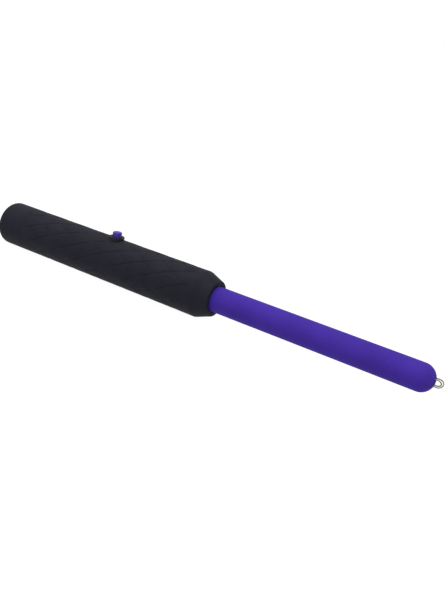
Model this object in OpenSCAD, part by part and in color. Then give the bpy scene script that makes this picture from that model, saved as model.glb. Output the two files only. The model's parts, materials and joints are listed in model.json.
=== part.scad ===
// Battery-powered electric wand: a quilted grip with a thumb button, a long
// round-ended tube and two crossed wire hoops at its tip.
//
// Frame: origin at the centre of the flat rear face, +X along the wand towards
// the tip, +Z up through the button. Millimetres.

/* [Grip] */
// Outer radius of the soft grip and of the end cap
grip_r = 20; // [19.5:0.1:21]
// Distance from the rear face to where the nose starts to taper
grip_len = 222.3; // [221:0.1:260]
// Length of the tapered nose
nose_len = 13.3; // [12:0.1:15]
// Outer radius of the nose at its lip
lip_r = 15; // [14.5:0.1:16]
// Thickness of the soft sleeve
sleeve_wall = 2.4; // [2:0.1:2.6]
// Thickness of the hard shells under the sleeve
shell_wall = 2; // [1.8:0.1:2]

/* [Tube] */
// Outer radius of the tube
tube_r = 10.9; // [10:0.05:11]
// Distance from the rear face to the top of the tube's dome
tip_x = 418.5; // [380:0.5:440]
// Wall thickness of the tube
tube_wall = 1.5; // [1.2:0.1:2]
// Depth of the tube's socket, measured back from the lip
socket_depth = 30; // [26:0.5:32]

/* [Hoops] */
// Radius of the hoops' wire
wire_r = 0.45; // [0.4:0.05:0.5]
// Centreline radius of the outer hoop
outer_hoop_r = 3.6; // [3.4:0.1:3.8]
// Centreline radius of the inner hoop
inner_hoop_r = 3.2; // [3:0.1:3.3]
// How far the outer hoop's wire stands out past the dome, to its centreline
hoop_reach = 5.4; // [5.2:0.1:6]
// Roll of the outer hoop's plane about the wand, from upright
outer_hoop_roll = -53; // [-90:1:90]
// Roll of the inner hoop's plane about the wand, from upright
inner_hoop_roll = 30; // [-90:1:90]

/* [Button] */
// Distance from the rear face to the button's axis
button_x = 126.7; // [123:0.1:130]
// Radius of the button
button_r = 4.05; // [3.8:0.05:4.1]
// Height of the button's top above the wand's axis
button_top = 26.5; // [25.5:0.1:27]
// Travel of the button
button_travel = 2; // [1:0.1:2]
// Outer radius of the raised bezel round the button
bezel_r = 6.7; // [6.4:0.1:7]
// Height of the bezel's top above the wand's axis
bezel_top = 22.2; // [21.8:0.1:23.2]

/* [Battery pack] */
// Length of the end cap that shows behind the grip
cap_len = 29; // [27:0.5:29.5]
// Radius of the rounded edge of the rear face
cap_edge = 3.8; // [3:0.1:4.5]
// Radius of one battery cell
cell_r = 7.25; // [7:0.05:7.25]
// Length of one battery cell, without its positive stud
cell_len = 49.5; // [49:0.1:49.5]

/* [Hidden] */

$fn = 96;
gap = 0.1;                                   // working gap between fixed pieces
slack = 0.35;                                // gap between pieces that move
over = 1;                                    // how far a cutter runs past its solid

// Grip, shells and bore
sleeve_in = grip_r - sleeve_wall;
shell_r = sleeve_in - gap;
bore_r = shell_r - shell_wall;
shell_back = cap_len + slack;
lip_x = grip_len + nose_len;
lip_round = 1;
mouth_r = tube_r + 0.65;
shell_nose_x = lip_x - 1.7;                  // front face of the hard nose
shell_nose_r = lip_r - sleeve_wall;
split = 0.04;                                // half of the gap between the two shells
seat_y = -6;                                 // where the shells' screws seat, across the wand

// Tube and its socket
spigot_r = tube_r - 0.6;                     // the tube is stepped down inside the handle
spigot_end = lip_x + 0.3;
socket_r = spigot_r + 0.1;
tube_back = lip_x - socket_depth;
tube_in = tube_r - tube_wall;
dome_x = tip_x - tube_r;
flange_r = 12.8;
flange_len = 3;
flange_x = tube_back + 1;
rib_t = 2.4;                                 // thickness of the ribs round the tube
rib_places = [flange_x - rib_t - gap, flange_x + flange_len + gap, grip_len - 2];

// Hoops
outer_hoop_x = tip_x + hoop_reach - outer_hoop_r;
inner_hoop_x = tip_x + hoop_reach - 1.4 - inner_hoop_r;
leg_back = tip_x - 20;                       // where the wires' legs end in the crimps
leg_hole_r = wire_r + 0.1;
insulator_x = leg_back + 3;
insulator_len = 6;

// Button and switch, stacked upwards from the circuit board
board_z = 3.4;
board_top = board_z + 1.6;
housing_top = board_top + 4;
flange_bottom = 12.9;                        // underside of the button's retaining flange
flange_top = 14.1;
button_flange_r = 5.2;
plunger_r = 1.5;
plunger_foot = housing_top - 1.2;
button_hole_r = button_r + slack;

// Battery pack
plug_r = 15.1;                               // the cap's plug in the handle's bore
plug_in = 13.1;
plug_front = cap_len + 8;
seal_x = cap_len + 3.5;
seal_r = 1;
cap_wall = 3;
cap_boss_r = 4.5;
plate_back = cap_len + 3.5;
plate_r = 12.7;
rim_back = plug_front + 0.5;
rim_r = 15.0;
plate_front = cap_len + 10;
cell_y = 7.4;                                // distance of each cell from the middle
stud_len = 1;
stud_r = 2.7;
contact_t = 0.5;
contact_half = 4.6;
spring_len = 2.5;
front_plate = plate_front + 2 * contact_t + spring_len + cell_len + stud_len;
front_plate_len = 3;
pad_t = 0.6;
right_cell_x = front_plate - contact_t - stud_len - cell_len;
left_cell_x = plate_front + contact_t + stud_len;
screw_r = 1.5;
screw_back = cap_len - 8;
screw_head_x = plate_front - 3;
screw_head_r = 2.75;

// Electronics
terminal_x = front_plate + front_plate_len + 4;
terminal_t = 2.4;
board_x = terminal_x + 11;
board_len = 62;
board_half = 11.5;
transistor_x = board_x + 5;
transistor_r = 2.4;
capacitor_x = board_x + 48;
capacitor_r = 3.15;
core_x = board_x + 6;
core_len = 16;
core_z = -5;
core_half = 4;                               // half of the core's width
core_window = 6;                             // half of the core's window, measured upright
core_plate = 2.5;
coil_r = 5.6;
module_x = board_x + 38;
module_len = 44;
module_r = 7.8;
module_z = -5;
module_lead_y = 3;
output_hole_len = 5;                         // depth of the output leads' holes in the resin
boss_z = 12.6;
boss_r = 2.6;
screw_places = [for (x = [terminal_x + 7, module_x + module_len + 5], z = [-boss_z, boss_z]) [x, z]];

// Colours
sleeve_black = [0.16, 0.16, 0.19];
bezel_black = [0.09, 0.09, 0.10];
violet = [0.25, 0.18, 0.60];
shell_grey = [0.22, 0.22, 0.24];
component_black = [0.10, 0.10, 0.11];
nickel = [0.72, 0.70, 0.62];
lead_red = [0.65, 0.11, 0.10];

// ---- Shared shapes ----------------------------------------------------------

// A rod along X from x0 to x1
module rod_x(x0, x1, r) {
    translate([x0, 0, 0]) rotate([0, 90, 0]) cylinder(h = x1 - x0, r = r);
}

// A ring along X from x0 to x1
module ring_x(x0, x1, r_out, r_in) {
    difference() {
        rod_x(x0, x1, r_out);
        rod_x(x0 - over, x1 + over, r_in);
    }
}

// A cone along X from radius r0 at x0 to radius r1 at x1
module cone_x(x0, x1, r0, r1) {
    translate([x0, 0, 0]) rotate([0, 90, 0]) cylinder(h = x1 - x0, r1 = r0, r2 = r1);
}

// A ball on the wand's axis, with its poles on the axis
module ball(x, r) {
    translate([x, 0, 0]) rotate([0, 90, 0]) sphere(r = r);
}

// A rod along Z from z0 to z1 at x, y
module post_z(x, y, z0, z1, r) {
    translate([x, y, z0]) cylinder(h = z1 - z0, r = r);
}

// A rod along Y from y0 to y1, at the X and Z given by place
module across(place, y0, y1, r) {
    translate([place[0], y0, place[1]]) rotate([-90, 0, 0]) cylinder(h = y1 - y0, r = r, $fn = 32);
}

// A block given by its lowest and highest corners
module block(low, high) {
    translate(low) cube(high - low);
}

// A point between a and b
function mix(a, b, t) = a * (1 - t) + b * t;

// A point on the smooth S-shaped run from p to q, which leaves and arrives along X
function s_run(p, q, t) =
    let (s = t * t * (3 - 2 * t))
    [mix(p[0], q[0], t), mix(p[1], q[1], s), mix(p[2], q[2], s)];

function unit(v) = v / norm(v);

// A wire of radius r swept along points that run mainly along X
module wire_along(points, r, sides = 8) {
    n = len(points);
    rings = [for (i = [0 : n - 1])
        let (d = unit(points[min(i + 1, n - 1)] - points[max(i - 1, 0)]),
             side = unit(cross([0, 0, 1], d)),
             up = cross(d, side))
        for (k = [0 : sides - 1])
            points[i] + r * (cos(360 * k / sides) * side + sin(360 * k / sides) * up)];
    walls = [for (i = [0 : n - 2], k = [0 : sides - 1])
        let (a = i * sides + k, b = i * sides + (k + 1) % sides)
        [a, b, b + sides, a + sides]];
    back = [[for (k = [sides - 1 : -1 : 0]) k]];
    front = [[for (k = [0 : sides - 1]) (n - 1) * sides + k]];
    polyhedron(points = rings, faces = concat(back, [for (w = walls) w], front), convexity = 4);
}

// A coil spring along Z, standing at the origin: mean radius r0 at its foot and r1 at its top
module coil_spring(height, r0, r1, wire, turns, per_turn = 14, sides = 6) {
    steps = turns * per_turn;
    rise = height - 2 * wire;
    rings = [for (i = [0 : steps])
        let (a = 360 * i / per_turn, t = i / steps, r = mix(r0, r1, t))
        for (k = [0 : sides - 1])
            let (c = r + wire * cos(360 * k / sides))
            [c * cos(a), c * sin(a), wire + rise * t + wire * sin(360 * k / sides)]];
    walls = [for (i = [0 : steps - 1], k = [0 : sides - 1])
        let (a = i * sides + k, b = i * sides + (k + 1) % sides)
        [a, a + sides, b + sides, b]];
    foot = [[for (k = [0 : sides - 1]) k]];
    top = [[for (k = [sides - 1 : -1 : 0]) steps * sides + k]];
    polyhedron(points = rings, faces = concat(foot, walls, top), convexity = 8);
}

// ---- Grip -------------------------------------------------------------------

module grip_sleeve() {
    color(sleeve_black) difference() {
        union() {
            rod_x(shell_back, grip_len, grip_r);
            cone_x(grip_len, lip_x - lip_round, grip_r,
                   lip_r + (grip_r - lip_r) * lip_round / nose_len);
            rod_x(lip_x - lip_round, lip_x, lip_r - 0.6);
            translate([lip_x - lip_round, 0, 0]) rotate([0, 90, 0])
                rotate_extrude() translate([lip_r - 0.6, 0]) circle(r = lip_round, $fn = 32);
        }
        rod_x(shell_back - over, grip_len - 1, sleeve_in);
        cone_x(grip_len - 1, shell_nose_x + gap, sleeve_in, shell_nose_r + gap);
        rod_x(lip_x - 4, lip_x + over, mouth_r);
        post_z(button_x, 0, 0, grip_r + over, bezel_r + gap);
    }
}

// Both shells in one piece, before they are split
module shell_blank() {
    rib_root = shell_r - 1;                  // how far out the ribs run into the shell's wall
    terminal_rib = 1.4;
    ledge_t = 3;
    ledge_y = 10;
    pilot_from = -9;
    pilot_to = 7.5;
    difference() {
        union() {
            ring_x(shell_back, grip_len - 1, shell_r, bore_r);
            difference() {
                cone_x(grip_len - 1, shell_nose_x, shell_r, shell_nose_r);
                cone_x(grip_len - 1 - 0.01, shell_nose_x - shell_wall, bore_r, socket_r);
            }
            // ribs that carry the tube and trap its flange
            for (x = rib_places) ring_x(x, x + rib_t, rib_root, socket_r);
            // ribs that hold the terminal board
            for (x = [terminal_x - terminal_rib - gap, terminal_x + terminal_t + gap])
                ring_x(x, x + terminal_rib, rib_root, bore_r - 2.4);
            // cradles under the high-voltage module
            for (x = [module_x + 5, module_x + module_len - 8]) intersection() {
                rod_x(x, x + ledge_t, rib_root);
                difference() {
                    block([x, -grip_r, -grip_r], [x + ledge_t, grip_r, module_z]);
                    translate([0, 0, module_z]) rod_x(x - over, x + ledge_t + over, module_r + gap);
                }
            }
            // ledges under the circuit board
            for (x = [board_x + 2, board_x + board_len - ledge_t - 2]) intersection() {
                rod_x(x, x + ledge_t, rib_root);
                difference() {
                    block([x, -grip_r, 1], [x + ledge_t, grip_r, board_z - gap / 2]);
                    block([x - over, -ledge_y, 0], [x + ledge_t + over, ledge_y, board_z]);
                }
            }
            // screw bosses
            intersection() {
                rod_x(shell_back, grip_len, rib_root);
                for (p = screw_places) across(p, -grip_r, grip_r, boss_r);
            }
        }
        for (p = screw_places) {
            across(p, pilot_from, pilot_to, 1.2);
            across(p, -grip_r, seat_y, 2.4);
        }
        post_z(button_x, 0, 0, grip_r, button_hole_r);
        rod_x(shell_nose_x - 3, shell_nose_x + over, socket_r);
    }
}

module shell_left() {
    color(shell_grey) intersection() {
        shell_blank();
        block([0, split, -grip_r], [lip_x, grip_r, grip_r]);
    }
}

module shell_right() {
    color(shell_grey) intersection() {
        shell_blank();
        block([0, -grip_r, -grip_r], [lip_x, -split, grip_r]);
    }
}

module shell_screws() {
    head_t = 1.55;
    color(nickel) for (p = screw_places) {
        across(p, seat_y - head_t - gap / 2, seat_y - gap / 2, 2.2);
        across(p, seat_y - gap, seat_y + 12.9, 1.1);
    }
}

// ---- Button and switch ------------------------------------------------------

module switch_bezel() {
    edge = 0.7;
    color(bezel_black) difference() {
        union() {
            post_z(button_x, 0, 0, bezel_top - edge, bezel_r);
            post_z(button_x, 0, 0, bezel_top, bezel_r - edge);
            translate([button_x, 0, bezel_top - edge])
                rotate_extrude() translate([bezel_r - edge, 0]) circle(r = edge, $fn = 32);
        }
        rod_x(0, grip_len, shell_r + 0.05);
        post_z(button_x, 0, 0, bezel_top + over, button_hole_r);
    }
}

module push_button() {
    edge = 1;
    color(violet) difference() {
        union() {
            post_z(button_x, 0, flange_bottom, flange_top, button_flange_r);
            post_z(button_x, 0, flange_bottom, button_top - edge, button_r);
            post_z(button_x, 0, flange_bottom, button_top, button_r - edge);
            translate([button_x, 0, button_top - edge])
                rotate_extrude() translate([button_r - edge, 0]) circle(r = edge, $fn = 32);
        }
        // moulded hollow with a post in the middle that pushes the plunger
        difference() {
            post_z(button_x, 0, flange_bottom - over, button_top - 1.8, button_r - 1.3);
            post_z(button_x, 0, flange_bottom - over, button_top, plunger_r);
        }
    }
}

module switch_plunger() {
    color([0.85, 0.85, 0.82]) post_z(button_x, 0, plunger_foot, flange_bottom, plunger_r);
}

module switch_housing() {
    half = 3.5;
    color(component_black) difference() {
        block([button_x - half, -half, board_top], [button_x + half, half, housing_top]);
        post_z(button_x, 0, plunger_foot - button_travel - 0.2, housing_top + over, plunger_r + gap);
    }
}

module switch_spring() {
    color(nickel) translate([button_x, 0, housing_top + 0.05])
        coil_spring(flange_bottom - housing_top - 0.1, 2.6, 2.6, 0.25, 3);
}

// ---- Electronics ------------------------------------------------------------

module circuit_board() {
    color([0.10, 0.32, 0.18])
        block([board_x, -board_half, board_z], [board_x + board_len, board_half, board_top]);
}

module drive_transistor() {
    flat = 1.6;                              // how far out its flat face is
    color(component_black) difference() {
        post_z(transistor_x, 0, board_top, board_top + 5, transistor_r);
        block([transistor_x + flat, -transistor_r - over, board_top - over],
              [transistor_x + transistor_r + over, transistor_r + over, board_top + 5 + over]);
    }
}

module filter_capacitor() {
    color([0.15, 0.20, 0.45]) post_z(capacitor_x, 0, board_top, board_top + 8, capacitor_r);
}

module transformer_core() {
    outer = core_window + 2;
    color([0.20, 0.20, 0.20]) translate([0, 0, core_z]) {
        for (x = [core_x, core_x + core_len - core_plate])
            block([x, -core_half, -outer], [x + core_plate, core_half, outer]);
        for (z = [-outer, core_window])
            block([core_x, -core_half, z], [core_x + core_len, core_half, z + 2]);
        rod_x(core_x, core_x + core_len, 2.6);
    }
}

module transformer_coil() {
    color([0.72, 0.38, 0.16]) translate([0, 0, core_z])
        ring_x(core_x + core_plate + gap, core_x + core_len - core_plate - gap, coil_r, 2.7);
}

module module_case() {
    floor_t = 1.5;
    color(component_black) translate([0, 0, module_z]) difference() {
        rod_x(module_x, module_x + module_len, module_r);
        rod_x(module_x + floor_t, module_x + module_len + over, module_r - 1);
        for (y = [-module_lead_y, module_lead_y]) translate([0, y, 0])
            rod_x(module_x - over, module_x + floor_t + over, 0.8);
    }
}

module module_potting() {
    color([0.20, 0.19, 0.17]) translate([0, 0, module_z]) difference() {
        rod_x(module_x + 1.55, module_x + module_len - 1, module_r - 1.05);
        for (y = [-module_lead_y, module_lead_y]) translate([0, y, 0]) {
            rod_x(module_x, module_x + 4, 0.8);
            rod_x(module_x + module_len - output_hole_len, module_x + module_len, 1.5);
        }
    }
}

module terminal_board() {
    color([0.62, 0.52, 0.30]) difference() {
        rod_x(terminal_x, terminal_x + terminal_t, bore_r - 0.2);
        for (y = [-cell_y, cell_y]) translate([0, y, 0])
            rod_x(terminal_x - over, terminal_x + terminal_t + over, 0.9);
    }
}

// Two bowed leaf contacts that the battery pack's pads press on, each with a solder tag
module battery_contacts() {
    bow = 2.7;
    leaf = 0.4;
    half = 2;
    color(nickel) for (y = [-cell_y, cell_y]) translate([0, y, 0]) {
        difference() {
            translate([terminal_x - contact_t, -half, 0]) rotate([-90, 0, 0]) cylinder(h = 2 * half, r = bow);
            translate([terminal_x - contact_t, -half - over, 0]) rotate([-90, 0, 0])
                cylinder(h = 2 * (half + over), r = bow - leaf);
            block([terminal_x - contact_t, -half - over, -bow - over],
                  [terminal_x + bow + over, half + over, bow + over]);
        }
        block([terminal_x - contact_t, -half, -4], [terminal_x, half, 4]);
        rod_x(terminal_x - contact_t, terminal_x + terminal_t + pad_t, 0.8);
    }
}

module battery_leads() {
    lead_r = 0.7;
    steps = 12;
    start_x = terminal_x + terminal_t + 0.65;
    color(lead_red) for (s = [-1, 1])
        wire_along([for (i = [0 : steps])
            s_run([start_x, s * cell_y, 0], [board_x - 0.05, s * 6, board_z + 0.8], i / steps)], lead_r);
}

module module_leads() {
    lead_r = 0.6;
    steps = 12;
    start_x = core_x + core_len + 2;
    color([0.80, 0.80, 0.78]) for (s = [-1, 1]) {
        run = [for (i = [0 : steps])
            s_run([start_x, s * 5, board_z - lead_r - 0.02],
                  [module_x - 1, s * module_lead_y, module_z], i / steps)];
        wire_along(concat(run, [[module_x + 3.5, s * module_lead_y, module_z]]), lead_r);
    }
}

// Where a hoop's leg of the given roll and radius meets its lead
function leg_point(roll, r, x) = [x, -r * sin(roll), r * cos(roll)];

module high_voltage_leads() {
    lead_r = 1.2;
    lead_y = 2.2;                            // distance of each lead from the middle of the tube
    steps = 9;
    start_x = module_x + module_len - output_hole_len + 0.5;
    end_x = leg_back - 4;
    color(lead_red) for (lead = [[1, outer_hoop_roll, outer_hoop_r],
                                 [-1, inner_hoop_roll, inner_hoop_r]]) {
        back = [for (i = [0 : steps])
            s_run([start_x, lead[0] * module_lead_y, module_z],
                  [tube_back + 22, lead[0] * lead_y, 0], i / steps)];
        front = [for (i = [0 : steps])
            s_run([end_x - 34, lead[0] * lead_y, 0], leg_point(lead[1], lead[2], end_x), i / steps)];
        wire_along(concat(back, front), lead_r);
    }
}

// Short metal tubes that join each lead to one leg of its hoop
module lead_crimps() {
    color([0.70, 0.56, 0.28]) for (leg = [[outer_hoop_roll, outer_hoop_r],
                                          [inner_hoop_roll, inner_hoop_r]])
        translate(leg_point(leg[0], leg[1], 0)) difference() {
            rod_x(leg_back - 3.9, leg_back + 2.5, 1.1);
            rod_x(leg_back - 0.1, leg_back + 2.5 + over, wire_r + 0.03);
        }
}

// ---- Tube and tip -----------------------------------------------------------

// Holes for the four legs of the hoops
module leg_holes(x0, x1) {
    for (leg = [[outer_hoop_roll, outer_hoop_r], [inner_hoop_roll, inner_hoop_r]], s = [0, 180])
        translate(leg_point(leg[0] + s, leg[1], 0)) rod_x(x0, x1, leg_hole_r, $fn = 24);
}

module tube() {
    color(violet) difference() {
        union() {
            rod_x(tube_back, dome_x, spigot_r);
            rod_x(spigot_end, dome_x, tube_r);
            intersection() {
                ball(dome_x, tube_r);
                block([dome_x, -tube_r - over, -tube_r - over], [tip_x + over, tube_r + over, tube_r + over]);
            }
        }
        rod_x(tube_back - over, dome_x, tube_in);
        ball(dome_x, tube_in);
        leg_holes(dome_x, tip_x + over);
    }
}

module tube_flange() {
    color(shell_grey) ring_x(flange_x, flange_x + flange_len, flange_r, spigot_r + 0.03);
}

module tip_insulator() {
    color([0.88, 0.87, 0.82]) difference() {
        rod_x(insulator_x, insulator_x + insulator_len, tube_in - gap);
        leg_holes(insulator_x - over, insulator_x + insulator_len + over);
    }
}

// A hoop of round wire: half a ring and two straight legs
module hoop(centre_x, r, roll) {
    rotate([roll, 0, 0]) {
        difference() {
            translate([centre_x, 0, 0]) rotate([90, 0, 0])
                rotate_extrude() translate([r, 0]) circle(r = wire_r, $fn = 24);
            block([centre_x - r - 1, -1, -r - 1], [centre_x, 1, r + 1]);
        }
        for (s = [-1, 1]) translate([0, 0, s * r]) rod_x(leg_back, centre_x, wire_r, $fn = 24);
    }
}

module outer_hoop() {
    color(nickel) hoop(outer_hoop_x, outer_hoop_r, outer_hoop_roll);
}

module inner_hoop() {
    color(nickel) hoop(inner_hoop_x, inner_hoop_r, inner_hoop_roll);
}

// ---- End cap and battery pack -----------------------------------------------

module end_cap() {
    color(sleeve_black) difference() {
        union() {
            rod_x(cap_edge, cap_len, grip_r);
            rod_x(0, cap_len, grip_r - cap_edge);
            translate([cap_edge, 0, 0]) rotate([0, 90, 0])
                rotate_extrude() translate([grip_r - cap_edge, 0]) circle(r = cap_edge);
            rod_x(cap_len, plug_front, plug_r);
        }
        difference() {
            rod_x(cap_wall, plug_front + over, plug_in);
            rod_x(0, plate_back - slack, cap_boss_r);
        }
        rod_x(screw_back, plug_front, screw_r);
        // groove for the seal
        ring_x(seal_x - seal_r - gap, seal_x + seal_r + gap, grip_r, plug_r - 1.7);
    }
}

module cap_seal() {
    color([0.10, 0.10, 0.10]) translate([seal_x, 0, 0]) rotate([0, 90, 0])
        rotate_extrude() translate([bore_r - 0.05 - seal_r, 0]) circle(r = seal_r, $fn = 32);
}

// Shouldered screw on which the battery carrier swivels in the cap
module carrier_screw() {
    color(nickel) {
        rod_x(screw_back + gap, screw_head_x + gap, screw_r);
        rod_x(screw_head_x, screw_head_x + 2.2, screw_head_r);
    }
}

module battery_carrier() {
    rail_y = 4;
    rail_z = 7.2;
    color([0.14, 0.14, 0.15]) difference() {
        union() {
            rod_x(plate_back, plate_front, plate_r);
            rod_x(rim_back, plate_front, rim_r);
            rod_x(front_plate, front_plate + front_plate_len, rim_r);
            // rails above and below the cells
            intersection() {
                rod_x(rim_back, front_plate + over, rim_r);
                difference() {
                    block([rim_back, -rail_y, -rim_r], [front_plate + over, rail_y, rim_r]);
                    block([rim_back - over, -rail_y - over, -rail_z],
                          [front_plate + 2 * over, rail_y + over, rail_z]);
                }
            }
        }
        rod_x(plate_back - over, plate_front, screw_r + gap);
        rod_x(screw_head_x - 0.3, plate_front + over, screw_head_r + 0.3);
        for (y = [-cell_y, cell_y]) translate([0, y, 0])
            rod_x(front_plate - over, front_plate + front_plate_len + over, 1.25);
    }
}

// One cell, its positive stud towards +X, standing on the plane at x
module cell(x) {
    wrap = 0.3;
    color([0.70, 0.46, 0.18]) translate([x, 0, 0]) {
        rod_x(0, wrap, cell_r - 1.2);
        rod_x(wrap, cell_len - wrap, cell_r);
        rod_x(cell_len - wrap, cell_len, cell_r - 1.2);
        rod_x(cell_len, cell_len + stud_len, stud_r);
    }
}

module cell_right() {
    translate([0, -cell_y, 0]) cell(right_cell_x);
}

module cell_left() {
    translate([left_cell_x + cell_len, cell_y, 0]) mirror([1, 0, 0]) cell(0);
}

module cell_springs() {
    color(nickel) {
        translate([plate_front + contact_t, -cell_y, 0]) rotate([0, 90, 0])
            coil_spring(spring_len, 4.2, 2.6, 0.35, 3);
        translate([front_plate - contact_t, cell_y, 0]) rotate([0, -90, 0])
            coil_spring(spring_len, 4.2, 2.6, 0.35, 3);
    }
}

// Strip that joins the two cells behind, with a hole for the swivel screw
module rear_bridge() {
    color(nickel) difference() {
        block([plate_front, -cell_y - contact_half, -contact_half],
              [plate_front + contact_t, cell_y + contact_half, contact_half]);
        rod_x(plate_front - over, plate_front + contact_t + over, screw_head_r + 0.3);
    }
}

// Two plates in front of the cells, each with a stud through the carrier to a round pad
module front_contacts() {
    color(nickel) for (y = [-cell_y, cell_y]) translate([0, y, 0]) {
        block([front_plate - contact_t, -contact_half, -contact_half],
              [front_plate, contact_half, contact_half]);
        rod_x(front_plate - contact_t, front_plate + front_plate_len + pad_t, 1.2);
        rod_x(front_plate + front_plate_len, front_plate + front_plate_len + pad_t, 3);
    }
}

grip_sleeve();
shell_left();
shell_right();
shell_screws();
switch_bezel();
push_button();
switch_plunger();
switch_housing();
switch_spring();
circuit_board();
drive_transistor();
filter_capacitor();
transformer_core();
transformer_coil();
module_case();
module_potting();
terminal_board();
battery_contacts();
battery_leads();
module_leads();
high_voltage_leads();
lead_crimps();
tube();
tube_flange();
tip_insulator();
outer_hoop();
inner_hoop();
end_cap();
cap_seal();
carrier_screw();
battery_carrier();
cell_left();
cell_right();
cell_springs();
rear_bridge();
front_contacts();
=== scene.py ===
import json
import math

import bmesh
import bpy
from mathutils import Matrix, Vector


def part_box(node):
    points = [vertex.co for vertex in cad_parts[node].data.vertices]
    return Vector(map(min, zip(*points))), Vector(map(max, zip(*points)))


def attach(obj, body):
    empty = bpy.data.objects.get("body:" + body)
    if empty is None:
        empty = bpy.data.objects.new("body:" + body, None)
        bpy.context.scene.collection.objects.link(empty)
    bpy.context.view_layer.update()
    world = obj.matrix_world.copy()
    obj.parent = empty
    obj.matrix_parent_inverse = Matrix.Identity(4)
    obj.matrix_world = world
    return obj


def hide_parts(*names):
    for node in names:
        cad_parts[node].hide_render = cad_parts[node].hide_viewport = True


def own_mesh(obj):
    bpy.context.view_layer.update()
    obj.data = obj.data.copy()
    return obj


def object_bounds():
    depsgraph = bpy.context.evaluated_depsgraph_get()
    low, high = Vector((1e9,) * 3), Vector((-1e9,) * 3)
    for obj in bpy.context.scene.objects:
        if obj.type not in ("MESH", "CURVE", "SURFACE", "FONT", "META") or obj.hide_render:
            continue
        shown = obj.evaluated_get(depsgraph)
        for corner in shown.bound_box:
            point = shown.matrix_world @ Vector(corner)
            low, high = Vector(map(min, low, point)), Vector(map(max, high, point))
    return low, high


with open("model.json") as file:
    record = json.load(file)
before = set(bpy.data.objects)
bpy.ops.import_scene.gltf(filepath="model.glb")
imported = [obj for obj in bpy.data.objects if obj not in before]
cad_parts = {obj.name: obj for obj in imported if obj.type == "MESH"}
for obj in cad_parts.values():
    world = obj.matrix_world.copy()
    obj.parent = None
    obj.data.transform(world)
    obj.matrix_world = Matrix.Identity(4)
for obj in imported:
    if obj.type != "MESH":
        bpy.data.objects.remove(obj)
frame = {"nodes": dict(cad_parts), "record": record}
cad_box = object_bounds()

# The looks of a battery-powered electric wand. Its axis lies along +X with the tip in front, and
# its push button points up. Shapes are worked out in millimetres and made in metres. The names in
# an outline's points give its sizes, and the third value of each point is its corner radius.

MM = 0.001
TURN = 2 * math.pi

record = frame["record"]
BODY = {node: body for body, nodes in record["behaviour"]["bodies"].items() for node in nodes}
SLOT = {part["node"]: part["material_slot"] for part in record["subparts"]}


def corners(node):
    """Lowest and highest corner of a CAD node, in millimetres."""
    low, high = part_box(node)
    return low / MM, high / MM


# ---- Sizes, some from the frame -----------------------------------------------

sleeve_low, sleeve_high = corners("grip_sleeve")
grip_r = sleeve_high.y
sleeve_back = sleeve_low.x
lip_x = sleeve_high.x
nose_len = 13.3
grip_len = lip_x - nose_len
lip_r = 15.0
sleeve_wall = 2.4
sleeve_in = grip_r - sleeve_wall
seam = 0.35

tube_low, tube_high = corners("tube")
tube_r = tube_high.y
tube_back = tube_low.x
dome_x = tube_high.x - tube_r
tube_wall = 1.5
tube_in = tube_r - tube_wall
spigot_step = 0.6
spigot_r = tube_r - spigot_step
mouth_gap = 0.65
mouth_r = tube_r + mouth_gap
lip_cover = 1.7                       # how far the sleeve's lip reaches past the shells
shell_nose_x = lip_x - lip_cover

bezel_low, bezel_high = corners("switch_bezel")
button_x = (bezel_low.x + bezel_high.x) / 2
bezel_r = (bezel_high.x - bezel_low.x) / 2
button_low, button_high = corners("push_button")
button_r = 4.05
button_flange_r = (button_high.x - button_low.x) / 2

carrier_shank_r = 1.5                 # the screw that joins the battery carrier to the cap


# ---- Shapes -------------------------------------------------------------------

def rounded(points, closed=True, steps=6):
    """The outline through points (x, y, radius), where each corner is an arc of its radius."""
    outline = []
    last = len(points) - 1
    for i, (x, y, radius) in enumerate(points):
        corner = Vector((x, y))
        if radius == 0 or (not closed and i in (0, last)):
            outline.append((x, y))
            continue
        before = (Vector(points[i - 1][:2]) - corner).normalized()
        after = (Vector(points[(i + 1) % len(points)][:2]) - corner).normalized()
        half = before.angle(after) / 2
        centre = corner + (before + after).normalized() * radius / math.sin(half)
        start = corner + before * radius / math.tan(half) - centre
        end = corner + after * radius / math.tan(half) - centre
        first = math.atan2(start.y, start.x)
        turn = (math.atan2(end.y, end.x) - first + math.pi) % TURN - math.pi
        for k in range(steps + 1):
            angle = first + turn * k / steps
            outline.append((centre.x + radius * math.cos(angle), centre.y + radius * math.sin(angle)))
    return outline


def arc(x, y, radius, first, last, steps):
    """Points on an arc from one angle to another, in degrees."""
    angles = [math.radians(first + (last - first) * k / steps) for k in range(steps + 1)]
    return [(x + radius * math.cos(a), y + radius * math.sin(a)) for a in angles]


def made(name, bm, crease=35):
    """Turns a bmesh in millimetres into a piece in metres, smooth up to the crease angle."""
    bmesh.ops.remove_doubles(bm, verts=bm.verts, dist=1e-4)
    bmesh.ops.recalc_face_normals(bm, faces=bm.faces)
    bmesh.ops.scale(bm, vec=(MM, MM, MM), verts=bm.verts)
    mesh = bpy.data.meshes.new(name)
    bm.to_mesh(mesh)
    bm.free()
    piece = bpy.data.objects.new(name, mesh)
    bpy.context.scene.collection.objects.link(piece)
    soften(piece, crease)
    return piece


def soften(piece, crease=35):
    """Shades the piece smooth, except at edges sharper than the crease angle."""
    piece.data.shade_smooth()
    piece.data.set_sharp_from_angle(angle=math.radians(crease))


def skin(bm, rings, closed=False):
    """Faces between rings of vertices; closed joins the last ring to the first."""
    pairs = list(zip(rings, rings[1:]))
    if closed:
        pairs.append((rings[-1], rings[0]))
    for a, b in pairs:
        for k in range(len(a)):
            following = (k + 1) % len(a)
            bm.faces.new((a[k], a[following], b[following], b[k]))


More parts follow.
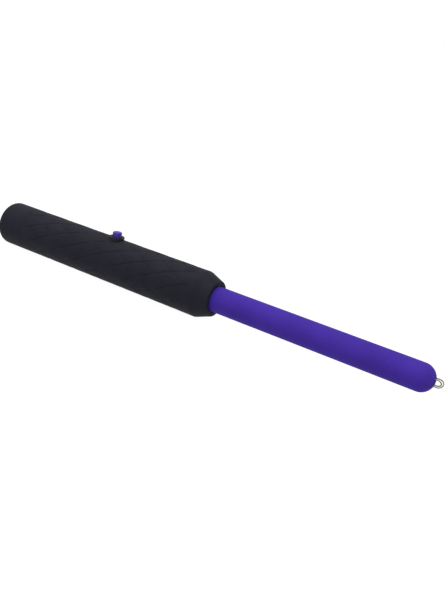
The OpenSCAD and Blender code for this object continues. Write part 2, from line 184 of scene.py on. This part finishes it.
def lathe(name, outline, axis="X", place=(0, 0, 0), sides=96, crease=35):
    """The closed outline of (distance along the axis, radius), turned about an axis through place."""
    bm = bmesh.new()
    rings = []
    for along, radius in outline:
        ring = []
        for k in range(sides):
            c = max(radius, 0) * math.cos(TURN * k / sides)
            s = max(radius, 0) * math.sin(TURN * k / sides)
            point = (along, c, s) if axis == "X" else (c, s, along)
            ring.append(bm.verts.new(Vector(point) + Vector(place)))
        rings.append(ring)
    skin(bm, rings, closed=True)
    return made(name, bm, crease)


def sweep(bm, path, radius, sides=16):
    """A round wire along a path, with flat ends."""
    path = [Vector(p) for p in path]
    heading = (path[1] - path[0]).normalized()
    side = heading.orthogonal().normalized()
    rings = []
    for i, point in enumerate(path):
        ahead = (path[min(i + 1, len(path) - 1)] - path[max(i - 1, 0)]).normalized()
        side = (side - ahead * side.dot(ahead)).normalized()
        up = ahead.cross(side)
        rings.append([bm.verts.new(point + radius * (math.cos(TURN * k / sides) * side
                                                     + math.sin(TURN * k / sides) * up))
                      for k in range(sides)])
    skin(bm, rings)
    bm.faces.new(list(reversed(rings[0])))
    bm.faces.new(rings[-1])


def baked(piece):
    """Applies the piece's modifiers."""
    graph = bpy.context.evaluated_depsgraph_get()
    mesh = bpy.data.meshes.new_from_object(piece.evaluated_get(graph))
    piece.modifiers.clear()
    piece.data = mesh


def cut(piece, cutter):
    """Cuts the cutter away from the piece."""
    modifier = piece.modifiers.new("cut", "BOOLEAN")
    modifier.operation = "DIFFERENCE"
    modifier.solver = "EXACT"
    modifier.object = cutter
    baked(piece)
    bpy.data.objects.remove(cutter)


def refined(node, edge, crease=35):
    """A copy of a CAD node, with its flat faces merged and its sharp edges rounded."""
    bm = bmesh.new()
    bm.from_mesh(frame["nodes"][node].data)
    bmesh.ops.remove_doubles(bm, verts=bm.verts, dist=1e-7)
    bmesh.ops.dissolve_limit(bm, angle_limit=math.radians(1), verts=bm.verts, edges=bm.edges)
    bmesh.ops.scale(bm, vec=(1 / MM, 1 / MM, 1 / MM), verts=bm.verts)
    piece = made(node + "_body", bm, crease)
    if edge:
        modifier = piece.modifiers.new("edge", "BEVEL")
        modifier.width = edge * MM
        modifier.segments = 3
        modifier.limit_method = "ANGLE"
        modifier.angle_limit = math.radians(40)
        modifier.use_clamp_overlap = True
        baked(piece)
        soften(piece, crease)
    return piece


# ---- Materials ----------------------------------------------------------------

class Finish:
    """One material, with a Principled shader fed by procedural textures in object coordinates."""

    def __init__(self, name, metallic=0.0, specular=0.5, coat=0.0):
        self.material = bpy.data.materials.new(name)
        self.material.use_nodes = True
        self.tree = self.material.node_tree
        self.shader = self.tree.nodes["Principled BSDF"]
        self.shader.inputs["Metallic"].default_value = metallic
        self.shader.inputs["Specular IOR Level"].default_value = specular
        self.shader.inputs["Coat Weight"].default_value = coat
        self.place = self.add("ShaderNodeTexCoord", {}).outputs["Object"]
        self.normal = None

    def add(self, kind, sockets, **settings):
        """A shader node whose sockets are given as values or as other nodes' outputs."""
        node = self.tree.nodes.new(kind)
        for setting, value in settings.items():
            setattr(node, setting, value)
        for socket, value in sockets.items():
            if isinstance(value, bpy.types.NodeSocket):
                self.tree.links.new(value, node.inputs[socket])
            else:
                node.inputs[socket].default_value = value
        return node

    def stretched(self, x, y, z):
        """The object coordinates, stretched by these factors."""
        return self.add("ShaderNodeMapping", {"Vector": self.place, "Scale": (x, y, z)}).outputs[0]

    def noise(self, size, detail=3.0, vector=None):
        """Noise with features of about the given size in millimetres."""
        return self.add("ShaderNodeTexNoise", {
            "Vector": vector or self.place, "Scale": 1 / (size * MM),
            "Detail": detail, "Roughness": 0.55}).outputs["Fac"]

    def cells(self, size):
        """Distance to the nearest of many scattered points, about the given millimetres apart."""
        return self.add("ShaderNodeTexVoronoi", {
            "Vector": self.place, "Scale": 1 / (size * MM)}).outputs["Distance"]

    def mapped(self, value, low, high, start=0.3, stop=0.7):
        """The value, taken from the range start to stop to the range low to high."""
        return self.add("ShaderNodeMapRange", {
            "Value": value, "From Min": start, "From Max": stop,
            "To Min": low, "To Max": high}).outputs[0]

    def shades(self, value, stops):
        """A colour ramp through stops of (position, colour)."""
        ramp = self.add("ShaderNodeValToRGB", {"Fac": value})
        elements = ramp.color_ramp.elements
        while len(elements) < len(stops):
            elements.new(0.5)
        for element, (position, colour) in zip(elements, stops):
            element.position = position
            element.color = (*colour, 1)
        return ramp.outputs["Color"]

    def mixed(self, factor, a, b):
        """A mix of two colours, each a value or a node's output."""
        node = self.add("ShaderNodeMix", {}, data_type="RGBA", blend_type="MIX")
        for index, value in ((0, factor), (6, a), (7, b)):
            if isinstance(value, bpy.types.NodeSocket):
                self.tree.links.new(value, node.inputs[index])
            else:
                node.inputs[index].default_value = value if index == 0 else (*value, 1)
        return node.outputs[2]

    def colour(self, value):
        """Feeds the base colour."""
        self.tree.links.new(value, self.shader.inputs["Base Color"])

    def roughness(self, value):
        """Feeds the roughness."""
        self.tree.links.new(value, self.shader.inputs["Roughness"])

    def bump(self, height, depth):
        """Adds relief of the given depth in millimetres on top of what is there."""
        sockets = {"Height": height, "Distance": depth * MM, "Strength": 1.0}
        if self.normal:
            sockets["Normal"] = self.normal
        self.normal = self.add("ShaderNodeBump", sockets).outputs[0]
        self.tree.links.new(self.normal, self.shader.inputs["Normal"])


def tinted(colour, factor):
    """A darker or lighter version of a colour."""
    return tuple(min(c * factor, 1.0) for c in colour)


def spread(colour, amount):
    """Ramp stops from a darker to a lighter version of a colour."""
    return [(0.3, tinted(colour, 1 - amount)), (0.7, tinted(colour, 1 + amount))]


def soft_touch(name, colour, rough=(0.60, 0.72), specular=0.08, grain=0.35):
    """Rubbery coating: nearly matt, with a fine pebbled grain and faint handling marks."""
    f = Finish(name, specular=specular)
    marks = f.noise(22, detail=4)
    f.colour(f.mixed(f.mapped(f.noise(1.1), 0.0, 0.35),
                     f.shades(marks, spread(colour, 0.12)), tinted(colour, 1.3)))
    f.roughness(f.mapped(f.noise(9, detail=5), *rough))
    f.bump(f.cells(grain), 0.012)
    f.bump(f.noise(3.5), 0.02)
    return f


def grip_rubber(name, colour):
    """The soft coating of the sleeve, with painted shade darkening its grooves in broken patches."""
    f = soft_touch(name, colour)
    depth = f.add("ShaderNodeAttribute", {}, attribute_name="groove").outputs["Fac"]
    base = f.shader.inputs["Base Color"].links[0].from_socket
    broken = f.mapped(f.noise(9, detail=4), 0.0, 1.0, 0.35, 0.65)
    shade = f.add("ShaderNodeMath", {0: depth, 1: broken}, operation="MULTIPLY").outputs[0]
    # the groove share, broken up by noise, mixes in a darker copy of the colour: painted shade in the
    # grooves
    f.colour(f.mixed(shade, base, tinted(colour, 0.62)))
    return f


def moulded(name, colour, rough=(0.36, 0.48), specular=0.4):
    """Injection-moulded plastic with a fine spark-eroded grain."""
    f = Finish(name, specular=specular)
    f.colour(f.shades(f.noise(14, detail=4), spread(colour, 0.07)))
    f.roughness(f.mapped(f.noise(6, detail=5), *rough))
    f.bump(f.noise(0.5, detail=2), 0.006)
    f.bump(f.noise(7), 0.015)
    return f


def metal(name, colour, rough=(0.2, 0.38), along=(1, 1, 1)):
    """Plated or drawn metal, with fine lines along the stretched axis and a little tarnish."""
    tarnish = 0.12
    f = Finish(name, metallic=1.0)
    lines = f.noise(0.4, detail=3, vector=f.stretched(*along))
    patches = f.noise(4, detail=5)
    f.colour(f.mixed(f.mapped(patches, 0.0, 1.0),
                     tinted(colour, 1 - tarnish), tinted(colour, 1 + tarnish / 2)))
    f.roughness(f.mapped(f.mixed(0.5, lines, patches), *rough))
    f.bump(lines, 0.004)
    return f


def insulation(name, colour):
    """Silicone insulation with a dusty film."""
    f = Finish(name, specular=0.35)
    f.colour(f.mixed(f.mapped(f.noise(2.5, detail=4), 0.0, 0.2), colour, (0.6, 0.6, 0.6)))
    f.roughness(f.mapped(f.noise(1.5), 0.42, 0.6))
    f.bump(f.noise(0.3), 0.01)
    return f


def laminate(name, colour, mask):
    """Glass-cloth or paper laminate: a square weave that shows through its surface coat."""
    f = Finish(name, specular=0.5, coat=0.25)
    thread = 1.6
    sockets = {"Vector": f.place, "Scale": 1 / (thread * MM) / TURN, "Distortion": 0.6}
    waves = [f.add("ShaderNodeTexWave", sockets, bands_direction=direction).outputs["Fac"]
             for direction in ("X", "Y")]
    weave = f.add("ShaderNodeMath", {0: waves[0], 1: waves[1]}, operation="MULTIPLY").outputs[0]
    f.colour(f.mixed(f.mapped(weave, 0.0, 0.5, 0.0, 1.0), colour, mask))
    f.roughness(f.mapped(f.noise(4), 0.28, 0.42))
    f.bump(weave, 0.01)
    return f


def speckled(name, colour, fleck, size, rough=(0.5, 0.7), coat=0.0):
    """Sintered or cast material with flecks in it."""
    f = Finish(name, specular=0.4, coat=coat)
    f.colour(f.mixed(f.mapped(f.cells(size), 0.6, 0.0, 0.05, 0.45), colour, fleck))
    f.roughness(f.mapped(f.noise(2), *rough))
    f.bump(f.noise(size), 0.02)
    return f


def winding(name, colour):
    """Enamelled copper wire laid turn by turn along X."""
    f = Finish(name, metallic=0.85, coat=0.4)
    wire = 0.5
    turns = f.add("ShaderNodeTexWave", {"Vector": f.place, "Scale": 1 / (wire * MM) / TURN},
                  bands_direction="X").outputs["Fac"]
    f.colour(f.mixed(f.mapped(turns, 0.0, 1.0, 0.0, 0.6), tinted(colour, 0.3), colour))
    f.roughness(f.mapped(f.noise(1.2), 0.22, 0.38))
    f.bump(turns, 0.06)
    return f


def cell_jacket(name, colour):
    """Printed foil jacket of a cell: a plain band of colour, with fine scratches."""
    f = Finish(name, metallic=0.55, coat=0.5)
    scratches = f.noise(0.5, detail=2, vector=f.stretched(0.08, 1, 1))
    f.colour(f.mixed(f.mapped(scratches, 0.0, 0.4, 0.55, 0.75),
                     f.shades(f.noise(18), spread(colour, 0.08)), tinted(colour, 1.6)))
    f.roughness(f.mapped(f.noise(5, detail=5), 0.24, 0.36))
    f.bump(scratches, 0.004)
    return f


GRIP_BLACK = (0.0088, 0.0090, 0.0148)

FINISHES = {
    "sleeve_rubber": grip_rubber("sleeve_rubber", GRIP_BLACK),
    "cap_plastic": soft_touch("cap_plastic", GRIP_BLACK),
    "shell_plastic": moulded("shell_plastic", (0.030, 0.030, 0.034)),
    "bezel_plastic": moulded("bezel_plastic", (0.004, 0.004, 0.005), rough=(0.45, 0.6), specular=0.2),
    "button_plastic": moulded("button_plastic", (0.022, 0.006, 0.200), rough=(0.3, 0.4), specular=0.3),
    "tube_plastic": soft_touch("tube_plastic", (0.034, 0.015, 0.198), rough=(0.6, 0.7),
                               specular=0.05, grain=0.3),
    "white_plastic": moulded("white_plastic", (0.75, 0.74, 0.70)),
    "component_plastic": moulded("component_plastic", (0.012, 0.012, 0.013), rough=(0.4, 0.55)),
    "carrier_plastic": moulded("carrier_plastic", (0.016, 0.016, 0.018), rough=(0.4, 0.52)),
    "seal_rubber": soft_touch("seal_rubber", (0.010, 0.010, 0.010), rough=(0.45, 0.6)),
    "hoop_wire": metal("hoop_wire", (0.15, 0.13, 0.078), rough=(0.25, 0.4)),
    "screw_steel": metal("screw_steel", (0.60, 0.60, 0.57), along=(0.1, 1, 1)),
    "spring_steel": metal("spring_steel", (0.55, 0.55, 0.53)),
    "contact_nickel": metal("contact_nickel", (0.62, 0.60, 0.54), along=(1, 1, 0.1)),
    "crimp_brass": metal("crimp_brass", (0.60, 0.42, 0.16), along=(0.1, 1, 1)),
    "board_laminate": laminate("board_laminate", (0.008, 0.085, 0.030), (0.015, 0.14, 0.05)),
    "terminal_laminate": laminate("terminal_laminate", (0.26, 0.17, 0.07), (0.36, 0.25, 0.11)),
    "capacitor_can": cell_jacket("capacitor_can", (0.02, 0.03, 0.15)),
    "cell_jacket": cell_jacket("cell_jacket", (0.45, 0.22, 0.05)),
    "ferrite": speckled("ferrite", (0.03, 0.03, 0.032), (0.09, 0.09, 0.09), 0.5),
    "potting_resin": speckled("potting_resin", (0.03, 0.028, 0.024), (0.06, 0.055, 0.05), 1.2,
                              rough=(0.2, 0.35), coat=0.4),
    "copper_winding": winding("copper_winding", (0.60, 0.18, 0.05)),
    "red_insulation": insulation("red_insulation", (0.40, 0.02, 0.02)),
    "white_insulation": insulation("white_insulation", (0.70, 0.70, 0.68)),
}


def painted(piece, slot):
    """Gives the piece the finish of a material slot, and no other."""
    piece.data.materials.clear()
    piece.data.materials.append(FINISHES[slot].material)
    return piece


def stands_for(piece, node):
    """The piece takes the place of a CAD node: its body, its finish and its name."""
    piece.name = node + "_look"
    painted(piece, SLOT[node])
    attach(piece, BODY[node])
    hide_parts(node)
    return piece


# ---- Grip sleeve --------------------------------------------------------------

# Two families of helical grooves cross on the sleeve. Each has STARTS grooves, and a groove
# moves on by one start over each PITCH along the wand.
STARTS = 9
PITCH = 28.8
CROSSING_X = button_x + 13.3
CROSSING_ANGLE = 44
GROOVES_FROM = sleeve_back + 1.0
GROOVES_TO = grip_len - 5.0
PATTERN_FROM = sleeve_back + 4.6      # the crossing mesh lines lie between these two,
PATTERN_TO = grip_len - 6             # and plain rings take over beyond them
FADE = 4.0                            # length over which the grooves run out
LINES = 26                            # mesh lines from one groove to the next
GROOVE_WIDTH = 0.8
GROOVE_DEPTH = 0.32
SHALLOW = 0.5                         # depth and painted groove shade of the second family, as a share of the first's
PAD_CROWN = 0.16
GROOVE_SPACING = PITCH * math.sin(math.atan(TURN / STARTS * grip_r / PITCH))


def line_place(index):
    """Place of a mesh line, in starts. The lines are close together near each groove."""
    start = round(index / LINES)
    t = 2 * (index / LINES - start)
    return start + (0.3 * t + 0.7 * t ** 3) / 2


def groove_relief(a, b, x):
    """How deep the surface lies below the pads at x, and how much of that is groove, which the
    sleeve's finish darkens as painted shade.
    """
    shares = []
    crown = 0
    for place in (a, b):
        away = abs(place - round(place)) * GROOVE_SPACING
        shares.append(math.exp(-(away / GROOVE_WIDTH) ** 2))
        crown += (1 - 2 * away / GROOVE_SPACING) ** 2 / 2
    groove = 1 - (1 - shares[0]) * (1 - SHALLOW * shares[1])
    t = min(max(min(x - GROOVES_FROM, GROOVES_TO - x) / FADE, 0), 1)
    fade = t * t * (3 - 2 * t)
    return fade * (GROOVE_DEPTH * groove + PAD_CROWN * crown), fade * groove


def on_sleeve(x, radius, angle):
    """A point on the sleeve; the angle is in degrees from +Z towards -Y."""
    a = math.radians(angle)
    return Vector((x, -radius * math.sin(a), radius * math.cos(a)))


def column_at(x):
    """The even column of crossing mesh lines that lies nearest to x."""
    return 2 * round(LINES * (x - CROSSING_X) / PITCH)


def column_angle(column, index):
    """Angle round the sleeve, in degrees, where a column meets mesh line index."""
    return CROSSING_ANGLE + 180 / STARTS * (line_place(index) - line_place(column - index))


def make_sleeve():
    """The quilted sleeve: its mesh lines run along the grooves and cross where they cross."""
    bm = bmesh.new()
    # each vertex keeps its groove share, which the sleeve's finish turns into painted shade
    layer = bm.verts.layers.float.new("groove")
    around = STARTS * LINES
    first = column_at(PATTERN_FROM)
    last = column_at(PATTERN_TO)
    columns = {}
    for c in range(first, last + 1):
        column = []
        for i in range(around):
            a, b = line_place(i), line_place(c - i)
            x = CROSSING_X + PITCH * (a + b) / 2
            drop, groove = groove_relief(a, b, x)
            vert = bm.verts.new(on_sleeve(x, grip_r - drop, column_angle(c, i)))
            vert[layer] = groove
            column.append(vert)
        columns[c] = column
    for i in range(around):
        following = (i + 1) % around
        for c in range(first, last - 1):
            bm.faces.new((columns[c][i], columns[c + 1][following],
                          columns[c + 2][following], columns[c + 1][i]))
        bm.faces.new((columns[first][i], columns[first][following], columns[first + 1][following]))
        bm.faces.new((columns[last][i], columns[last - 1][i], columns[last][following]))

    # the smooth nose, the mouth round the tube, the inner wall and the rear edge
    inner_lip = shell_nose_x + 0.1
    outline = rounded([
        (grip_len - 1.6, grip_r, 0),
        (grip_len, grip_r, 5.0),
        (lip_x, lip_r, 1.0),
        (lip_x, mouth_r, 0.4),
        (inner_lip, mouth_r, 0.1),
        (inner_lip, lip_r - 2.3, 0.3),
        (grip_len - 1, sleeve_in, 1.0),
        (sleeve_back, sleeve_in, 0.15),
        (sleeve_back, grip_r, 0.35),
        (sleeve_back + 0.5, grip_r, 0),
    ], closed=False)
    # the front rings line up with the last column of the pattern, and the rear ones with the first
    shift = (last - first) // 2
    front_angles = [column_angle(last, i) for i in range(around)]
    back_angles = [column_angle(first, i - shift) for i in range(around)]
    middle = (sleeve_back + grip_len) / 2
    rings = [columns[last]]
    for x, r in outline:
        angles = front_angles if x > middle else back_angles
        rings.append([bm.verts.new(on_sleeve(x, r, angle)) for angle in angles])
    rings.append([columns[first][(i - shift) % around] for i in range(around)])
    skin(bm, rings)
    sleeve = made("sleeve", bm, crease=50)
    hole_r = bezel_r + 0.1
    foot, top = 10, grip_r + 2
    hole = lathe("hole", [(foot, 0), (foot, hole_r), (top, hole_r), (top, 0)],
                 axis="Z", place=(button_x, 0, 0))
    cut(sleeve, hole)
    soften(sleeve, 50)
    stands_for(sleeve, "grip_sleeve")


# ---- End cap and battery pack -------------------------------------------------

def make_end_cap():
    """The cap, with its plug, the seal's groove and the boss that takes the carrier's screw."""
    length = sleeve_back - 0.12
    plug_x = corners("end_cap")[1].x
    plug_r = 15.1
    plug_in = 13.1
    groove_r = plug_r - 1.7
    boss_r = 4.5
    floor_x = 3
    seal_low, seal_high = corners("cap_seal")
    boss_x = corners("battery_carrier")[0].x - seam
    screw_x = corners("carrier_screw")[0].x - 0.1
    outline = rounded([
        (0, 0, 0), (0, grip_r, 3.8), (length, grip_r, 0.35), (length, plug_r, 0.2),
        (seal_low.x - 0.1, plug_r, 0.15), (seal_low.x - 0.1, groove_r, 0.2),
        (seal_high.x + 0.1, groove_r, 0.2), (seal_high.x + 0.1, plug_r, 0.15),
        (plug_x, plug_r, 0.5), (plug_x, plug_in, 0.3), (floor_x, plug_in, 1.0), (floor_x, boss_r, 1.0),
        (boss_x, boss_r, 0.3), (boss_x, carrier_shank_r, 0.1),
        (screw_x, carrier_shank_r, 0), (screw_x, 0, 0),
    ], steps=10)
    stands_for(lathe("cap", outline, sides=160), "end_cap")


def make_seal():
    """The cap's seal: a ring whose section stops short of closing, so the outline joins itself."""
    low, high = corners("cap_seal")
    wire = (high.x - low.x) / 2
    outline = arc((low.x + high.x) / 2, high.y - wire, wire, 0, 345, 23)
    stands_for(lathe("seal", outline, sides=120), "cap_seal")


def make_carrier_screw():
    """The screw, with a cross slot in its head."""
    low, high = corners("carrier_screw")
    head_r = high.y
    head_x = high.x - 2.2
    slot_size = (2.4, 3.2, 0.6)
    outline = rounded([
        (low.x, 0, 0), (low.x, carrier_shank_r, 0.4), (head_x, carrier_shank_r, 0.1),
        (head_x, head_r, 0.15), (high.x, head_r, 0.8), (high.x, 0, 0)])
    screw = lathe("screw", outline, sides=64)
    for turn in (0, 90):
        bm = bmesh.new()
        bmesh.ops.create_cube(bm, size=1)
        bmesh.ops.scale(bm, vec=slot_size, verts=bm.verts)
        bmesh.ops.rotate(bm, verts=bm.verts, matrix=Matrix.Rotation(math.radians(turn), 3, "X"))
        bmesh.ops.translate(bm, verts=bm.verts, vec=(high.x, 0, 0))
        cut(screw, made("slot", bm))
    soften(screw)
    stands_for(screw, "carrier_screw")


def make_cell(node, forward):
    """A cell: the jacket is folded over both ends, and the stud stands at the positive end."""
    low, high = corners(node)
    y = (low.y + high.y) / 2
    radius = (high.y - low.y) / 2
    length = high.x - low.x
    body = length - 1
    outline = rounded([
        (0, 0, 0), (0, 4.6, 0.2), (0.35, 5.0, 0.2), (0.15, 5.6, 0.2), (0, 6.4, 0.2),
        (0.3, radius, 0.5), (body - 0.3, radius, 0.5),
        (body, 6.2, 0.2), (body - 0.5, 5.6, 0.2), (body - 0.5, 3.4, 0.3),
        (body, 2.9, 0.2), (body + 0.4, 2.7, 0.2), (length, 2.7, 0.35), (length, 0, 0)])
    if forward:
        outline = [(low.x + x, r) for x, r in outline]
    else:
        outline = [(high.x - x, r) for x, r in outline]
    cell = lathe(node, outline, place=(0, y, 0), sides=80)
    stands_for(cell, node)
    cell.data.materials.append(FINISHES["contact_nickel"].material)
    for face in cell.data.polygons:
        inward = math.hypot(face.center.y / MM - y, face.center.z / MM) < radius - 1.3
        face.material_index = 1 if inward else 0


def coil(bm, start, axis, height, first_r, last_r, wire):
    """A compression spring of four turns that stands on start, closed at each end."""
    turns = 4
    per_turn = 32
    axis = Vector(axis)
    u = axis.orthogonal().normalized()
    v = axis.cross(u)
    steps = turns * per_turn
    path = []
    for i in range(steps + 1):
        t = i / steps
        eased = min(max((t * turns - 0.75) / (turns - 1.5), 0), 1)
        angle = TURN * turns * t
        r = first_r + (last_r - first_r) * t
        rise = wire + eased * (height - 2 * wire)
        path.append(Vector(start) + axis * rise + r * (math.cos(angle) * u + math.sin(angle) * v))
    sweep(bm, path, wire, sides=12)


def make_cell_springs():
    """The conical springs that press on the negative end of each cell."""
    bm = bmesh.new()
    back = corners("rear_bridge")[1].x
    front = corners("front_contacts")[0].x
    for node, x, axis in (("cell_right", back, (1, 0, 0)), ("cell_left", front, (-1, 0, 0))):
        low, high = corners(node)
        y = (low.y + high.y) / 2
        height = low.x - back if axis[0] > 0 else front - high.x
        coil(bm, (x, y, 0), axis, height, first_r=4.2, last_r=2.6, wire=0.3)
    stands_for(made("springs", bm, crease=60), "cell_springs")


# ---- Button and switch --------------------------------------------------------

def make_bezel():
    """The ring round the button, cut underneath to sit on the round shell."""
    hole_r = button_r + seam
    foot, top = 12, bezel_high.z
    bore = 17.55
    outline = rounded([
        (foot, hole_r, 0), (foot, bezel_r, 0), (top, bezel_r, 0.5), (top, hole_r, 0.35)])
    bezel = lathe("bezel", outline, axis="Z", place=(button_x, 0, 0), sides=128)
    back, front = button_x - 20, button_x + 20
    rod = lathe("rod", [(back, 0), (back, bore), (front, bore), (front, 0)], sides=192)
    cut(bezel, rod)
    soften(bezel)
    stands_for(bezel, "switch_bezel")


def make_button():
    """The hollow button: a crowned top, a flange that keeps it in, and a stem inside."""
    top = button_high.z
    flange = button_low.z
    flange_top = flange + 1.2
    crown = 0.22
    crown_r = 3.0
    inner_r = button_r - 1.3
    roof = top - 1.8
    stem_r = 1.5
    outline = [(top, 0)] + [(top - crown * (k / 6) ** 2, crown_r * k / 6) for k in range(1, 6)]
    outline += rounded([
        (top - crown, crown_r, 0), (top - crown - 0.12, button_r, 0.9), (flange_top, button_r, 0.15),
        (flange_top, button_flange_r, 0.2), (flange, button_flange_r, 0.2),
        (flange, inner_r, 0.1), (roof, inner_r, 0.4), (roof, stem_r, 0.2),
        (flange, stem_r, 0.1), (flange, 0, 0)], closed=False)
    button = lathe("button", outline, axis="Z", place=(button_x, 0, 0), sides=96)
    stands_for(button, "push_button")


def make_switch_spring():
    """The spring under the button, given a mesh of its own."""
    low, high = corners("switch_spring")
    bm = bmesh.new()
    coil(bm, (button_x, 0, low.z), (0, 0, 1), high.z - low.z, first_r=2.6, last_r=2.6, wire=0.2)
    spring = stands_for(made("switch_spring_wire", bm, crease=60), "switch_spring")
    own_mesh(spring)


# ---- Tube and hoops -----------------------------------------------------------

WIRE = 0.45
HOOPS = {"outer_hoop": (3.6, -53), "inner_hoop": (3.2, 30)}     # radius, and roll in degrees


def hoop_point(x, z, roll):
    """A point of the XZ plane, rolled about the wand's axis by this many degrees."""
    a = math.radians(roll)
    return Vector((x, -z * math.sin(a), z * math.cos(a)))


def make_tube():
    """The tube, its round end, and the four holes that the hoops' legs come out of."""
    step_x = shell_nose_x + 0.15
    outline = rounded([
        (tube_back, tube_in, 0.2), (tube_back, spigot_r, 0.3), (step_x, spigot_r, 0),
        (step_x, tube_r, 0.3), (dome_x, tube_r, 0)], closed=False)
    outline += arc(dome_x, 0, tube_r, 90, 0, 28)[1:]
    outline += arc(dome_x, 0, tube_in, 0, 90, 24)
    tube = lathe("tube", outline, sides=144)
    hole_r = WIRE + 0.1
    hole_end = dome_x + 14
    for radius, roll in HOOPS.values():
        for side in (-1, 1):
            place = hoop_point(0, side * radius, roll)
            hole = lathe("hole", [(dome_x, 0), (dome_x, hole_r), (hole_end, hole_r), (hole_end, 0)],
                         place=place, sides=24)
            cut(tube, hole)
    soften(tube, 30)
    stands_for(tube, "tube")


def make_hoop(node):
    """A hoop: two straight legs out of the tube, joined by a half circle."""
    radius, roll = HOOPS[node]
    low, high = corners(node)
    centre_x = high.x - WIRE - radius
    bend = arc(centre_x, 0, radius, 90, -90, 40)
    legs = 10
    path = [(low.x + (centre_x - low.x) * k / legs, radius) for k in range(legs)]
    path += bend
    path += [(centre_x - (centre_x - low.x) * k / legs, -radius) for k in range(1, legs + 1)]
    bm = bmesh.new()
    sweep(bm, [hoop_point(x, z, roll) for x, z in path], WIRE, sides=24)
    stands_for(made(node, bm, crease=60), node)


# ---- Hidden pieces, kept from the CAD with rounded edges ----------------------

EDGES = {
    "battery_carrier": 0.35, "rear_bridge": 0.12, "front_contacts": 0.12, "battery_contacts": 0.08,
    "switch_housing": 0.25, "switch_plunger": 0.2, "circuit_board": 0.1, "drive_transistor": 0.2,
    "filter_capacitor": 0.4, "transformer_core": 0.3, "transformer_coil": 0.5, "module_case": 0.3,
    "module_potting": 0.1, "terminal_board": 0.15, "tube_flange": 0.3, "tip_insulator": 0.2,
    "lead_crimps": 0.1, "shell_screws": 0.2,
    "battery_leads": 0, "module_leads": 0, "high_voltage_leads": 0,
}


def make_inner_pieces():
    """The pieces that keep their CAD shape; the two shells keep their CAD mesh as well."""
    for node, edge in EDGES.items():
        crease = 35 if edge else 70
        stands_for(refined(node, edge, crease), node)
    for node in ("shell_left", "shell_right"):
        painted(frame["nodes"][node], SLOT[node])


make_sleeve()
make_end_cap()
make_seal()
make_carrier_screw()
make_cell("cell_right", True)
make_cell("cell_left", False)
make_cell_springs()
make_bezel()
make_button()
make_switch_spring()
make_tube()
for hoop_node in HOOPS:
    make_hoop(hoop_node)
make_inner_pieces()


# ---- Studio -------------------------------------------------------------------

def make_floor():
    """A wide pale floor that the grip lies on, lit softly from below like a light table."""
    floor_r = 9000
    middle_x = 200
    bm = bmesh.new()
    bmesh.ops.create_circle(bm, cap_ends=True, radius=floor_r, segments=96)
    bmesh.ops.translate(bm, verts=bm.verts, vec=(middle_x, 0, cad_box[0].z / MM))
    floor = made("floor", bm)
    paper = Finish("floor_paper", specular=0.0)
    paper.colour(paper.shades(paper.noise(60), [(0.3, (0.07, 0.07, 0.07)), (0.7, (0.09, 0.09, 0.09))]))
    paper.roughness(paper.mapped(paper.noise(20), 0.85, 0.95))
    paper.shader.inputs["Emission Color"].default_value = (1, 1, 1, 1)
    paper.shader.inputs["Emission Strength"].default_value = 0.97
    floor.data.materials.append(paper.material)


def make_lights():
    """White surroundings, and one large lamp overhead that shades the wand from top to bottom."""
    world = bpy.data.worlds.new("studio")
    bpy.context.scene.world = world
    world.use_nodes = True
    background = world.node_tree.nodes["Background"]
    background.inputs["Color"].default_value = (1, 1, 1, 1)
    background.inputs["Strength"].default_value = 1.0
    size = 0.9
    place = Vector((0.2, -0.15, 0.9))
    target = Vector((0.22, 0, 0))
    light = bpy.data.lights.new("overhead", "AREA")
    light.shape = "RECTANGLE"
    light.size = size * 1.4
    light.size_y = size * 0.6
    light.energy = 9.0
    lamp = bpy.data.objects.new("overhead", light)
    bpy.context.scene.collection.objects.link(lamp)
    lamp.location = place
    lamp.rotation_euler = (target - place).to_track_quat("-Z", "Y").to_euler()


def make_camera():
    """Looks down at the wand from its front right, with the grip nearer the left of the view."""
    target = Vector((235.4, 10.8, 0)) * MM
    distance = 559.9 * MM
    azimuth, elevation, roll = (math.radians(a) for a in (-61.94, 19.20, 10.66))
    back = Vector((math.cos(elevation) * math.cos(azimuth),
                   math.cos(elevation) * math.sin(azimuth), math.sin(elevation)))
    level = Vector((0, 0, 1)).cross(back).normalized()
    upright = back.cross(level)
    right = math.cos(roll) * level + math.sin(roll) * upright
    up = back.cross(right)
    data = bpy.data.cameras.new("camera")
    data.lens = 40.98                 # millimetres, for a sensor 36 mm wide
    data.sensor_width = 36
    data.clip_start = 0.01
    camera = bpy.data.objects.new("camera", data)
    bpy.context.scene.collection.objects.link(camera)
    camera.matrix_world = (Matrix.Translation(target + back * distance)
                           @ Matrix((right, up, back)).transposed().to_4x4())
    bpy.context.scene.camera = camera


make_floor()
make_lights()
make_camera()
bpy.context.scene.view_settings.view_transform = "Standard"
